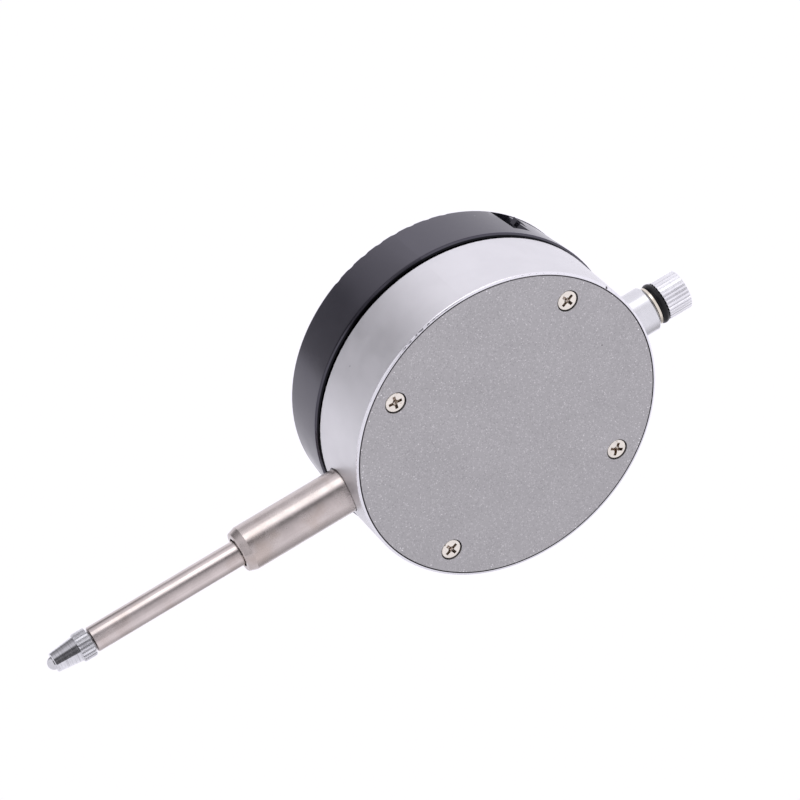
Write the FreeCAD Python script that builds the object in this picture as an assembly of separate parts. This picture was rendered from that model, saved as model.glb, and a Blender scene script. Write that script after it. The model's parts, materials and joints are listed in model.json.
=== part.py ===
import FreeCAD, Part
import math
import os

# Electronic dial indicator with 25.4 mm travel, clamped by its 8 mm stem.
# Millimetres. +Z runs up the spindle to the lifting knob, the display faces -Y, the back cover faces +Y.
# The origin is on the spindle axis, half way along the stem's clamping length.

# --- case: radii are about the case axis, the other values are positions along Y --------------------
CASE_Z = 38.4               # height of the round case's centre above the origin
CASE_R = 28.45              # satin case side
COVER_R = 27.84             # back cover, let into the case
COVER_BACK = 7.93           # back cover's outer face
COVER_GAP = 0.16            # dark line between the cover and the rim round it
RIM_BACK = 7.9              # thin rim, level with the cover
LEDGE = 6.9                 # step in the case that the cover lies on
COVER_SEAT = 5.6            # inner face of the cover's spigot
SPIGOT_INSET = 1.6
GASKET_SEAT = 5.3
CASE_FRONT = -5.6
CAVITY_R = 25.0
CAVITY_FRONT = -4.7
EDGE = 0.3                  # small rounding on the case's edges
COVER_EDGE = 0.08

COVER_SCREW = 16.8          # cover screws sit on a square, half side
COVER_HEAD_R = 1.8
COVER_HEAD_H = 1.18
COVER_SHANK_R = 0.9
COVER_SHANK_END = -3.0
TAP_R = 0.95

# --- stem, collar and spindle: radii are about the spindle axis, heights are from the origin --------
STEM_R = 4.0
STEM_TIP = -10.5            # stem's lower face
STEM_CHAMFER = 1.45
STEM_SHOULDER = CASE_Z - CASE_R     # the clamping length ends where the stem meets the case
STEM_TOP = 16.4
STEM_SPIGOT_R = 3.8         # part of the stem pressed into the case
STEM_MOUTH_R = 4.18         # relief in the case round the stem
COLLAR_BOTTOM = 60.4
COLLAR_TOP = 71.5
BUSH_R = 3.0
STEP = 0.9                  # lip that keeps each bush in place
MOUTH_R = 2.62

SPINDLE_R = 2.25
SPINDLE_LOW = -38.65
SPINDLE_TOP = 71.4
SPINDLE_BORE_R = 1.2        # tapped for the contact's stud
SPINDLE_SPIGOT_R = 1.3      # carries the washer, O-ring and knob
SPINDLE_SPIGOT = 4.4
RUN_GAP = 0.04              # radial running clearance of spindle and guide rod
CASE_BORE_R = SPINDLE_R + 0.6

BALL_R = 1.2
TIP_Z = -46.95              # lowest point of the contact ball
CONTACT_LOW = -41.3         # knurled part of the contact
CONTACT_TOP = -38.95
WASHER_Z = 71.65
KNOB_NECK = 72.1
KNOB_LOW = 73.6
KNOB_TOP = 78.1
KNOB_R = 3.56
KNOB_NECK_R = 2.1

CARRIER_LOW = 19.9
CARRIER_TOP = 25.9
CARRIER_HALF = 5.2
CARRIER_FRONT = -3.7
CARRIER_BACK = 4.2
GUIDE_X = 9.0
GUIDE_R = 1.0
GUIDE_HALF = 21.4           # half length of the guide rod, about the case centre

SCALE_BOARD = 0.5           # thickness
SCREW_SLOT = 0.15           # half width of a small screw's slot
BOARD_SCREW_X = -5.4        # scale board's two screws
BOARD_SCREW_Z = (-19.0, 19.0)

# --- turning display: radii are about the case axis, the other values are positions along Y ---------
FACE_R = 28.8               # housing's side at the rear
FACE_FRONT_R = 28.1         # the side tapers to this at the front
FACE_SIDE_REAR = -6.65
FACE_REAR = -6.2
FACE_FRONT = -17.05
FACE_EDGE = 0.5
FACE_WALL = 1.45
FACE_BORE_R = 26.9
RIM_CHAMFER = 0.55
BEZEL_R = 24.6
BEZEL_STEP = 0.45
PANEL_R = 23.9

GRIP_COUNT = 8              # shallow flutes on each side of the front edge
GRIP_PITCH = 6.35
GRIP_SIDES = (-2.5, 177.5)
GRIP_CUT_R = 2.2
GRIP_DEPTH = 0.36

HUB_R = 16.0
HUB_BORE_R = 12.0
HUB_FRONT = -9.2
HUB_SCREW_R = 14.0
HUB_SCREW_ANGLES = (90.0, 210.0, 330.0)
FACE_SCREW_R = 24.9
FACE_SCREW_ANGLES = (15.0, 115.0, 195.0, 285.0)
POST_R = 1.5
PLATE_FRONT = -9.1
PLATE_REAR = -6.65

PLUG_REAR = -15.6           # front panel's plug and the flange behind it
FLANGE_REAR = -14.9
LCD_REAR = -13.1
BOARD_FRONT = -12.0
BOARD_REAR = -11.0
LCD_SIZE = (32.0, 13.0)
LCD_Z = 1.2
BUTTON_X = (-11.0, 0.0, 11.0)
BUTTON_Z = -13.5
BUTTON_R = 3.3
BUTTON_FRONT = -17.3
BUTTON_GAP = 0.08
BUTTON_TRAVEL = 0.5

DOOR_ANGLE = 63.0           # battery drawer's direction, from +X towards +Z
DOOR_HALF = 8.3
DOOR_REAR = -9.4
DOOR_FRONT = -16.5
DOOR_INSET = 0.08
DOOR_INNER_R = 27.0
TRAY_HALF = 7.3
TRAY_INNER = 13.2
CELL_R = 5.8
CELL_OUT = 20.3             # cell's centre, out from the case axis
CELL_Y = -10.9
CELL_H = 3.6

Y_AXIS = FreeCAD.Vector(0, 1, 0)
Z_AXIS = FreeCAD.Vector(0, 0, 1)
ORIGIN = FreeCAD.Vector(0, 0, 0)
CASE_CENTRE = FreeCAD.Vector(0, 0, CASE_Z)
OVER = 1.0                  # how far cutting tools run past the faces they cut


# --- helpers ----------------------------------------------------------------------------------------
def disc(radius, y0, y1, x=0.0, z=0.0):
    """Cylinder along Y; x and z are measured from the case centre."""
    base = FreeCAD.Vector(x, min(y0, y1), CASE_Z + z)
    return Part.makeCylinder(radius, abs(y1 - y0), base, Y_AXIS)


def annulus(outer, inner, y0, y1, x=0.0, z=0.0):
    hole = disc(inner, min(y0, y1) - OVER, max(y0, y1) + OVER, x, z)
    return disc(outer, y0, y1, x, z).cut(hole)


def rod(radius, z0, z1, x=0.0, y=0.0):
    """Cylinder along Z, heights from the origin."""
    return Part.makeCylinder(radius, z1 - z0, FreeCAD.Vector(x, y, z0), Z_AXIS)


def tube(outer, inner, z0, z1, x=0.0, y=0.0):
    return rod(outer, z0, z1, x, y).cut(rod(inner, z0 - OVER, z1 + OVER, x, y))


def block(x0, x1, y0, y1, z0, z1):
    """Box; z values are measured from the case centre."""
    return Part.makeBox(x1 - x0, y1 - y0, z1 - z0, FreeCAD.Vector(x0, y0, CASE_Z + z0))


def polar(radius, angle):
    turn = math.radians(angle)
    return radius * math.cos(turn), radius * math.sin(turn)


def wire_from(points, place):
    """Closed outline; an entry holding two points is an arc through the first to the second."""
    edges = []
    here = place(*points[0])
    for item in points[1:] + [points[0]]:
        if isinstance(item[0], tuple):
            middle = place(*item[0])
            end = place(*item[1])
            edges.append(Part.Arc(here, middle, end).toShape())
        else:
            end = place(*item)
            edges.append(Part.makeLine(here, end))
        here = end
    return Part.Wire(edges)


def turned_y(points):
    """Solid of revolution about the case axis from (radius, y) points."""
    wire = wire_from(points, lambda r, y: FreeCAD.Vector(r, y, CASE_Z))
    return Part.Face(wire).revolve(CASE_CENTRE, Y_AXIS, 360)


def turned_z(points):
    """Solid of revolution about the spindle axis from (radius, z) points."""
    wire = wire_from(points, lambda r, z: FreeCAD.Vector(r, 0, z))
    return Part.Face(wire).revolve(ORIGIN, Z_AXIS, 360)


def fluted(outer, root, count, z0, z1):
    """Straight-knurled cylinder with trapezoid teeth."""
    pitch = 360.0 / count
    tooth = ((0.0, outer), (0.42, outer), (0.60, root), (0.82, root))
    points = []
    for number in range(count):
        for share, radius in tooth:
            x, y = polar(radius, (number + share) * pitch)
            points.append(FreeCAD.Vector(x, y, z0))
    outline = Part.makePolygon(points + [points[0]])
    return Part.Face(outline).extrude(FreeCAD.Vector(0, 0, z1 - z0))


def fuse(shapes):
    whole = shapes[0]
    for shape in shapes[1:]:
        whole = whole.fuse(shape)
    return whole.removeSplitter()


def cut_all(shape, tools):
    for tool in tools:
        shape = shape.cut(tool)
    return shape


def corners(half):
    return [(x, z) for x in (-half, half) for z in (-half, half)]


def at_door(shape):
    """Turn a shape built along +X, round the case axis, to the battery drawer's direction."""
    shape.rotate(CASE_CENTRE, Y_AXIS, -DOOR_ANGLE)
    return shape


def cross_recess(radius, depth, y_top, x, z, turn):
    """Cross-shaped driver recess cut into a screw head from the top, tapering to a point."""
    half_width = 0.22 * radius
    point_r = 0.12
    mouth_r = 0.52 * radius
    reach = 1.3 * depth
    blades = []
    for angle in (turn, turn + 90.0):
        blade = block(x - radius, x + radius, y_top - depth, y_top + OVER, z - half_width, z + half_width)
        blade.rotate(FreeCAD.Vector(x, 0, CASE_Z + z), Y_AXIS, angle)
        blades.append(blade)
    bottom = FreeCAD.Vector(x, y_top - reach, CASE_Z + z)
    blades.append(Part.makeCone(point_r, mouth_r, reach + 0.1, bottom, Y_AXIS))
    return fuse(blades)


def slotted_screw(head_r, shank_r, head_y, seat_y, end_y, x, z):
    """Small flat-headed screw along Y with a straight driver slot."""
    deep = (head_y + seat_y) / 2
    long = head_r + 0.1
    body = fuse([disc(head_r, seat_y, head_y, x, z), disc(shank_r, end_y, seat_y, x, z)])
    low = min(deep, head_y + math.copysign(OVER, head_y - seat_y))
    high = max(deep, head_y + math.copysign(OVER, head_y - seat_y))
    return body.cut(block(x - long, x + long, low, high, z - SCREW_SLOT, z + SCREW_SLOT))


def hub_screw_places():
    return [polar(HUB_SCREW_R, angle) for angle in HUB_SCREW_ANGLES]


def face_screw_places():
    return [polar(FACE_SCREW_R, angle) for angle in FACE_SCREW_ANGLES]


# --- case group -------------------------------------------------------------------------------------
def case_shell():
    soft = EDGE * (1 - math.sqrt(0.5))
    outline = [
        (0, CASE_FRONT), (CASE_R - EDGE, CASE_FRONT),
        ((CASE_R - soft, CASE_FRONT + soft), (CASE_R, CASE_FRONT + EDGE)),
        (CASE_R, RIM_BACK - EDGE), ((CASE_R - soft, RIM_BACK - soft), (CASE_R - EDGE, RIM_BACK)),
        (0, RIM_BACK),
    ]
    shell = turned_y(outline)
    cavity = disc(CAVITY_R, CAVITY_FRONT, RIM_BACK + OVER)
    spigot_seat = disc(COVER_R - SPIGOT_INSET + 0.1, GASKET_SEAT, RIM_BACK + OVER)
    plate_seat = disc(COVER_R + COVER_GAP, LEDGE, RIM_BACK + OVER)
    return cut_all(shell, [cavity, spigot_seat, plate_seat])


def case_bosses():
    """Inner bosses for the cover screws, the spindle's bores and the guide rod."""
    screw_boss_r = 2.4
    bore_half = 6.0
    bore_reach = (21.0, 26.5)
    guide_half = 1.9
    guide_back = 2.0
    guide_height = 2.6
    bosses = [disc(screw_boss_r, CAVITY_FRONT, GASKET_SEAT, x, z) for x, z in corners(COVER_SCREW)]
    for low, high in (bore_reach, (-bore_reach[1], -bore_reach[0])):
        bosses.append(block(-bore_half, bore_half, CAVITY_FRONT, GASKET_SEAT, low, high))
    for low in (-22.2, 22.2 - guide_height):
        top = low + guide_height
        bosses.append(block(GUIDE_X - guide_half, GUIDE_X + guide_half, CAVITY_FRONT, guide_back, low, top))
    inside = disc(CAVITY_R + 1.2, CAVITY_FRONT, COVER_SEAT)
    return [boss.common(inside) for boss in bosses]


def case_holes():
    tapped = 0.6
    cable_half = 3.5
    holes = [disc(TAP_R, COVER_SHANK_END - 0.6, COVER_SEAT + OVER, x, z) for x, z in corners(COVER_SCREW)]
    hub_bore = disc(HUB_BORE_R, CASE_FRONT - OVER, CAVITY_FRONT + OVER)
    across = block(-HUB_R, HUB_R, CASE_FRONT - OVER, CAVITY_FRONT + OVER, -cable_half, cable_half)
    holes.append(hub_bore.common(across))
    holes.append(rod(STEM_SPIGOT_R, STEM_SHOULDER - OVER, STEM_TOP))
    holes.append(rod(STEM_MOUTH_R, STEM_SHOULDER - OVER, STEM_SHOULDER + 0.6))
    holes.append(rod(CASE_BORE_R, STEM_TOP - OVER, CASE_Z - 20))
    holes.append(rod(STEM_R, COLLAR_BOTTOM, CASE_Z + CASE_R + OVER))
    holes.append(rod(CASE_BORE_R, CASE_Z + 20, COLLAR_BOTTOM + OVER))
    holes.append(rod(GUIDE_R, CASE_Z - GUIDE_HALF, CASE_Z + GUIDE_HALF, GUIDE_X))
    for x, z in hub_screw_places():
        holes.append(disc(tapped, HUB_FRONT - 0.1, CASE_FRONT - 0.4, x, z))
    for z in BOARD_SCREW_Z:
        holes.append(disc(tapped, CASE_FRONT + EDGE, CAVITY_FRONT + 0.1, BOARD_SCREW_X, z))
    return holes


def case_body():
    hub = annulus(HUB_R, HUB_BORE_R, HUB_FRONT, CASE_FRONT)
    return cut_all(fuse([case_shell()] + case_bosses() + [hub]), case_holes())


def back_cover():
    soft = COVER_EDGE * (1 - math.sqrt(0.5))
    spigot_r = COVER_R - SPIGOT_INSET
    plate = turned_y([
        (0, COVER_SEAT), (spigot_r, COVER_SEAT), (spigot_r, LEDGE), (COVER_R - 0.1, LEDGE),
        (COVER_R, LEDGE + 0.1), (COVER_R, COVER_BACK - COVER_EDGE),
        ((COVER_R - soft, COVER_BACK - soft), (COVER_R - COVER_EDGE, COVER_BACK)), (0, COVER_BACK),
    ])
    holes = []
    for x, z in corners(COVER_SCREW):
        holes.append(disc(COVER_HEAD_R + 0.16, COVER_BACK - 1.3, COVER_BACK + OVER, x, z))
        holes.append(disc(COVER_SHANK_R + 0.15, COVER_SEAT - OVER, COVER_BACK, x, z))
    return cut_all(plate, holes)


def back_screws():
    seat = COVER_BACK - 1.3
    top = seat + COVER_HEAD_H
    first_turn = 24.0
    next_turn = 31.0
    screws = []
    for number, (x, z) in enumerate(corners(COVER_SCREW)):
        head = disc(COVER_HEAD_R, seat, top, x, z)
        upper = [edge for edge in head.Edges if edge.Closed and abs(edge.CenterOfMass.y - top) < 0.01]
        screw = fuse([head.makeFillet(0.2, upper), disc(COVER_SHANK_R, COVER_SHANK_END, seat, x, z)])
        turn = first_turn + next_turn * number
        screws.append(screw.cut(cross_recess(1.22, 0.55, top, x, z, turn)))
    return Part.makeCompound(screws)


def back_gasket():
    return annulus(COVER_R - 1.7, CAVITY_R + 0.3, GASKET_SEAT, COVER_SEAT)


def stem():
    nose_r = 3.56
    return turned_z([
        (MOUTH_R, STEM_TIP), (nose_r - 0.14, STEM_TIP), (nose_r, STEM_TIP + 0.12),
        (STEM_R, STEM_TIP + STEM_CHAMFER), (STEM_R, STEM_SHOULDER), (STEM_SPIGOT_R, STEM_SHOULDER),
        (STEM_SPIGOT_R, STEM_TOP), (BUSH_R, STEM_TOP), (BUSH_R, STEM_TIP + STEP), (MOUTH_R, STEM_TIP + STEP),
    ])


def lower_bush():
    return tube(BUSH_R, SPINDLE_R + RUN_GAP, STEM_TIP + STEP, STEM_TOP)


def upper_collar():
    edge = 0.4
    lip = 0.6
    return turned_z([
        (BUSH_R, COLLAR_BOTTOM), (STEM_R, COLLAR_BOTTOM), (STEM_R, COLLAR_TOP - edge),
        (STEM_R - edge, COLLAR_TOP), (MOUTH_R, COLLAR_TOP), (MOUTH_R, COLLAR_TOP - lip),
        (BUSH_R, COLLAR_TOP - lip),
    ])


def upper_bush():
    return tube(BUSH_R, SPINDLE_R + RUN_GAP, COLLAR_BOTTOM, COLLAR_TOP - 0.6)


def guide_rod():
    return rod(GUIDE_R, CASE_Z - GUIDE_HALF, CASE_Z + GUIDE_HALF, GUIDE_X)


def scale_board():
    half = 20.7
    board = block(-7.0, 6.2, CAVITY_FRONT, CAVITY_FRONT + SCALE_BOARD, -half, half)
    holes = []
    for z in BOARD_SCREW_Z:
        holes.append(disc(0.75, CAVITY_FRONT - OVER, CAVITY_FRONT + OVER, BOARD_SCREW_X, z))
    return cut_all(board, holes)


def scale_board_screws():
    seat = CAVITY_FRONT + SCALE_BOARD
    top = seat + 0.5
    end = CASE_FRONT + EDGE
    return Part.makeCompound([
        slotted_screw(1.2, 0.6, top, seat, end, BOARD_SCREW_X, z) for z in BOARD_SCREW_Z
    ])


def friction_ring():
    return annulus(23.5, 18.5, CASE_FRONT - 0.95, CASE_FRONT)


def face_retainer():
    plate = annulus(18.4, HUB_BORE_R, HUB_FRONT - 0.8, HUB_FRONT)
    return cut_all(plate, [disc(0.75, HUB_FRONT - 2, HUB_FRONT + 1, x, z) for x, z in hub_screw_places()])


def retainer_screws():
    seat = HUB_FRONT - 0.8
    return Part.makeCompound([
        slotted_screw(1.25, 0.6, seat - 0.5, seat, CASE_FRONT - 0.8, x, z) for x, z in hub_screw_places()
    ])


def return_spring():
    """Compression spring round the spindle, from the carrier up to the case's top boss."""
    wire_r = 0.24
    coil_r = 3.2
    turns = 12
    low = CARRIER_TOP + wire_r
    height = CASE_Z + 21 - wire_r - low
    path = Part.makeHelix(height / turns, height, coil_r)
    path.translate(FreeCAD.Vector(0, 0, low))
    section = Part.Wire(Part.makeCircle(wire_r, FreeCAD.Vector(coil_r, 0, low), Y_AXIS))
    return Part.Wire(path).makePipeShell([section], True, True)


# --- spindle group ----------------------------------------------------------------------------------
def spindle():
    lead_in = 0.2
    spigot_top = SPINDLE_TOP + SPINDLE_SPIGOT
    body = turned_z([
        (0, SPINDLE_LOW), (SPINDLE_R - 0.3, SPINDLE_LOW), (SPINDLE_R, SPINDLE_LOW + lead_in),
        (SPINDLE_R, SPINDLE_TOP), (SPINDLE_SPIGOT_R, SPINDLE_TOP), (SPINDLE_SPIGOT_R, spigot_top),
        (0, spigot_top),
    ])
    return body.cut(rod(SPINDLE_BORE_R, SPINDLE_LOW - OVER, SPINDLE_LOW + 6))


def contact_point():
    """Knurled collar, cone and stud, with a seat for the ball."""
    ball_top = TIP_Z + BALL_R
    nose_r = 1.72
    cone_r = 2.22
    collar_r = 2.55
    edge = 0.17
    cone = turned_z([
        (0, ball_top - 0.1), (nose_r - 0.1, ball_top - 0.1), (nose_r, ball_top), (cone_r, CONTACT_LOW),
        (cone_r + 0.08, CONTACT_LOW), (cone_r + 0.08, CONTACT_TOP), (1.6, CONTACT_TOP + 0.05),
        (1.6, SPINDLE_LOW), (SPINDLE_BORE_R, SPINDLE_LOW), (SPINDLE_BORE_R, SPINDLE_LOW + 5.4),
        (0, SPINDLE_LOW + 5.4),
    ])
    knurl = fluted(collar_r - 0.03, collar_r - 0.23, 22, CONTACT_LOW, CONTACT_TOP)
    limit = turned_z([
        (0, CONTACT_LOW), (collar_r - edge, CONTACT_LOW), (collar_r, CONTACT_LOW + edge),
        (collar_r, CONTACT_TOP - edge), (collar_r - edge, CONTACT_TOP), (0, CONTACT_TOP),
    ])
    return fuse([cone, knurl.common(limit)]).cut(contact_ball())


def contact_ball():
    return Part.makeSphere(BALL_R, FreeCAD.Vector(0, 0, TIP_Z + BALL_R))


def lifting_knob():
    edge = 0.22
    knurl = fluted(KNOB_R, KNOB_R - 0.2, 30, KNOB_LOW, KNOB_TOP)
    limit = turned_z([
        (0, KNOB_LOW), (KNOB_R + 0.04, KNOB_LOW), (KNOB_R + 0.04, KNOB_TOP - edge),
        (KNOB_R - edge, KNOB_TOP), (0, KNOB_TOP),
    ])
    neck = rod(KNOB_NECK_R, KNOB_NECK, KNOB_LOW)
    bore = rod(SPINDLE_SPIGOT_R, SPINDLE_TOP, SPINDLE_TOP + SPINDLE_SPIGOT)
    return fuse([knurl.common(limit), neck]).cut(bore)


def knob_washer():
    return tube(3.45, SPINDLE_SPIGOT_R, WASHER_Z, KNOB_NECK)


def bumper_o_ring():
    middle = FreeCAD.Vector(0, 0, (KNOB_NECK + KNOB_LOW) / 2)
    ring = Part.makeTorus(2.9, 0.8, middle, Z_AXIS)
    return ring.common(tube(4.0, KNOB_NECK_R, KNOB_NECK, KNOB_LOW))


def carrier_offset(z):
    return z - CASE_Z


def scale_carrier():
    low = carrier_offset(CARRIER_LOW)
    top = carrier_offset(CARRIER_TOP)
    inset = 0.5
    ear_half = 1.8
    body = fuse([
        block(-CARRIER_HALF, CARRIER_HALF, CARRIER_FRONT, CARRIER_BACK, low, top),
        block(CARRIER_HALF, GUIDE_X + 2.1, -ear_half, ear_half, low + inset, top - inset),
    ])
    holes = [
        rod(SPINDLE_R, CARRIER_LOW - OVER, CARRIER_TOP + OVER),
        rod(GUIDE_R + RUN_GAP, CARRIER_LOW - OVER, CARRIER_TOP + OVER, GUIDE_X),
        disc(0.75, SPINDLE_R - 0.3, CARRIER_BACK + OVER, 0, (low + top) / 2),
    ]
    return cut_all(body, holes)


def carrier_screw():
    middle = carrier_offset((CARRIER_LOW + CARRIER_TOP) / 2)
    screw = slotted_screw(1.4, 0.75, CARRIER_BACK + 0.7, CARRIER_BACK, 0, 0, middle)
    return screw.cut(rod(SPINDLE_R, CARRIER_LOW, CARRIER_TOP))


def slider_plate():
    low = carrier_offset(CARRIER_LOW)
    return block(-3.8, 5.6, CARRIER_FRONT - 0.4, CARRIER_FRONT, low, low + 12.6)


# --- display group ----------------------------------------------------------------------------------
def face_outer(inset):
    """Outer form of the turning housing, made smaller all round by inset."""
    soft = FACE_EDGE * (1 - math.sqrt(0.5))
    front_r = FACE_FRONT_R - inset
    front = FACE_FRONT
    return turned_y([
        (0, FACE_REAR), (FACE_R - RIM_CHAMFER - inset, FACE_REAR),
        (FACE_R - 0.1 - inset, FACE_SIDE_REAR + 0.06), (FACE_R - inset, FACE_SIDE_REAR),
        (front_r, front + FACE_EDGE),
        ((front_r - soft, front + soft), (front_r - FACE_EDGE, front)),
        (BEZEL_R, front), (PANEL_R, front + BEZEL_STEP), (0, front + BEZEL_STEP),
    ])


def grip_cutters():
    """Short shallow flutes across the housing's front edge, in two arcs at the left and right."""
    reach = 2.4
    out = (GRIP_CUT_R - GRIP_DEPTH) * math.sqrt(0.5)
    middle = FreeCAD.Vector(FACE_FRONT_R + out, FACE_FRONT - out, CASE_Z)
    slope = FreeCAD.Vector(1, 1, 0).normalize()
    tools = []
    for side in GRIP_SIDES:
        for number in range(GRIP_COUNT):
            angle = side + (number - (GRIP_COUNT - 1) / 2.0) * GRIP_PITCH
            flute = Part.makeCylinder(GRIP_CUT_R, 2 * reach, middle - slope * reach, slope)
            flute.rotate(CASE_CENTRE, Y_AXIS, -angle)
            tools.append(flute)
    return tools


def front_housing():
    wall_inside = FACE_FRONT + FACE_WALL
    slot_low = -DOOR_HALF - 3.5
    slot_high = -DOOR_HALF - 0.1
    shell = face_outer(0.0)
    shell = shell.cut(disc(FACE_BORE_R, wall_inside, FACE_REAR + OVER))
    shell = shell.cut(disc(PANEL_R, FACE_FRONT - OVER, wall_inside + OVER))
    posts = [disc(POST_R, wall_inside, PLATE_FRONT, x, z) for x, z in face_screw_places()]
    shell = fuse([shell] + posts)
    tools = [disc(0.7, wall_inside + 0.5, PLATE_FRONT + 0.1, x, z) for x, z in face_screw_places()]
    door_low = -DOOR_HALF - 0.15
    door_high = DOOR_HALF + 0.15
    outside = FACE_R + OVER
    opening = block(0, outside, DOOR_FRONT, DOOR_REAR + 0.1, door_low, door_high)
    finger_slot = block(25.2, outside, DOOR_FRONT, DOOR_REAR + 0.3, slot_low, slot_high)
    tools.append(at_door(opening).cut(disc(FACE_BORE_R, FACE_FRONT - OVER, FACE_REAR + OVER)))
    tools.append(at_door(finger_slot))
    return cut_all(shell, tools + grip_cutters())


def rear_plate():
    plate = annulus(FACE_BORE_R - 0.1, HUB_R + 0.06, PLATE_FRONT, PLATE_REAR)
    holes = []
    for x, z in face_screw_places():
        holes.append(disc(POST_R, PLATE_REAR - 1.1, PLATE_REAR + OVER, x, z))
        holes.append(disc(0.85, PLATE_FRONT - OVER, PLATE_REAR, x, z))
    return cut_all(plate, holes)


def housing_screws():
    seat = PLATE_REAR - 1.1
    top = seat + 0.8
    screws = []
    for x, z in face_screw_places():
        body = fuse([disc(1.4, seat, top, x, z), disc(0.7, -14.0, seat, x, z)])
        screws.append(body.cut(cross_recess(0.8, 0.45, top, x, z, 45)))
    return Part.makeCompound(screws)


def post_notches(y0, y1):
    return [disc(POST_R + 0.25, y0, y1, x, z) for x, z in face_screw_places()]


def lcd_opening(grow, y0, y1):
    half_x = LCD_SIZE[0] / 2 + grow
    half_z = LCD_SIZE[1] / 2 + grow
    return block(-half_x, half_x, y0, y1, LCD_Z - half_z, LCD_Z + half_z)


def face_panel():
    plug_front = FACE_FRONT + BEZEL_STEP
    window_seat = PLUG_REAR - 0.2
    plug = disc(PANEL_R - 0.1, plug_front, PLUG_REAR)
    flange = cut_all(disc(25.0, PLUG_REAR, FLANGE_REAR), post_notches(plug_front, FLANGE_REAR + OVER))
    tools = [lcd_opening(-1.2, window_seat, FLANGE_REAR + OVER)]
    tools.append(lcd_opening(-0.2, plug_front - OVER, window_seat))
    for x in BUTTON_X:
        tools.append(disc(BUTTON_R + BUTTON_GAP, plug_front - OVER, FLANGE_REAR + OVER, x, BUTTON_Z))
    return cut_all(fuse([plug, flange]), tools)


def lcd_window():
    return lcd_opening(-0.2, FACE_FRONT + BEZEL_STEP + 0.1, PLUG_REAR - 0.2)


def lcd_module():
    return lcd_opening(0.0, FLANGE_REAR, LCD_REAR)


def zebra_strips():
    strips = []
    for z in (LCD_Z - 5.6, LCD_Z + 5.6):
        strips.append(block(-15, 15, LCD_REAR, BOARD_FRONT, z - 0.6, z + 0.6))
    return Part.makeCompound(strips)


def main_board():
    board = disc(26.0, BOARD_FRONT, BOARD_REAR)
    gap_half = DOOR_HALF + 0.6
    tray_gap = at_door(block(12.9, 30, BOARD_FRONT - OVER, BOARD_REAR + OVER, -gap_half, gap_half))
    return cut_all(board, post_notches(BOARD_FRONT - OVER, BOARD_REAR + OVER) + [tray_gap])


def controller_chip():
    return block(-15.5, -8.5, BOARD_FRONT - 1.0, BOARD_FRONT, 11.0, 18.0)


def switch_domes():
    dome_r = 4.3
    rise = 0.8
    domes = []
    for x in BUTTON_X:
        centre = FreeCAD.Vector(x, BOARD_FRONT - rise + dome_r, CASE_Z + BUTTON_Z)
        ball = Part.makeSphere(dome_r, centre)
        domes.append(ball.common(disc(3.0, BOARD_FRONT - OVER, BOARD_FRONT, x, BUTTON_Z)))
    return Part.makeCompound(domes)


def battery_contacts():
    """Two sprung fingers on the board that touch the cell when the drawer is shut."""
    foot_front = BOARD_FRONT - 0.3
    half = 0.6
    fingers = []
    for across in (-4.0, 4.0):
        foot = block(11.4, 12.8, foot_front, BOARD_FRONT, across - half, across + half)
        finger = block(12.2, 12.8, -14.2, foot_front, across - half, across + half)
        fingers.append(at_door(fuse([foot, finger])))
    return Part.makeCompound(fingers)


def button(x):
    flange_front = FLANGE_REAR + 0.1
    plunger_front = BOARD_FRONT - 0.8 - BUTTON_TRAVEL - 0.15
    cap = disc(BUTTON_R, BUTTON_FRONT, flange_front, x, BUTTON_Z)
    rim = [edge for edge in cap.Edges if edge.Closed and abs(edge.CenterOfMass.y - BUTTON_FRONT) < 0.01]
    return fuse([
        cap.makeFillet(0.35, rim),
        disc(BUTTON_R + 0.7, flange_front, flange_front + 0.6, x, BUTTON_Z),
        disc(1.4, flange_front + 0.6, plunger_front, x, BUTTON_Z),
    ])


# --- battery drawer ---------------------------------------------------------------------------------
def battery_door():
    well_front = CELL_Y - CELL_H - OVER
    sector = at_door(block(0, FACE_R + OVER, DOOR_FRONT + 0.1, DOOR_REAR, -DOOR_HALF, DOOR_HALF))
    inside = disc(DOOR_INNER_R, FACE_FRONT - OVER, FACE_REAR + OVER)
    panel = face_outer(DOOR_INSET).cut(inside).common(sector)
    tray_front = CELL_Y - CELL_H - 0.2
    tray = block(TRAY_INNER, DOOR_INNER_R + 0.4, tray_front, CELL_Y + 0.35, -TRAY_HALF, TRAY_HALF)
    nub = block(26.2, 27.4, -14.4, -13.2, -DOOR_HALF - 0.5, -DOOR_HALF + 0.5)
    well = disc(CELL_R + 0.1, well_front, CELL_Y, CELL_OUT, 0)
    slot = block(TRAY_INNER - OVER, TRAY_INNER + 3, well_front, CELL_Y, -5.2, 5.2)
    return fuse([panel, at_door(tray.cut(well).cut(slot)), at_door(nub)])


def battery_cell():
    """Button cell: can with a stepped smaller pole."""
    step = CELL_Y - CELL_H + 0.35
    can = disc(CELL_R, step, CELL_Y, CELL_OUT, 0)
    pole = disc(CELL_R - 0.7, CELL_Y - CELL_H, step, CELL_OUT, 0)
    return at_door(fuse([can, pole]))


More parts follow.
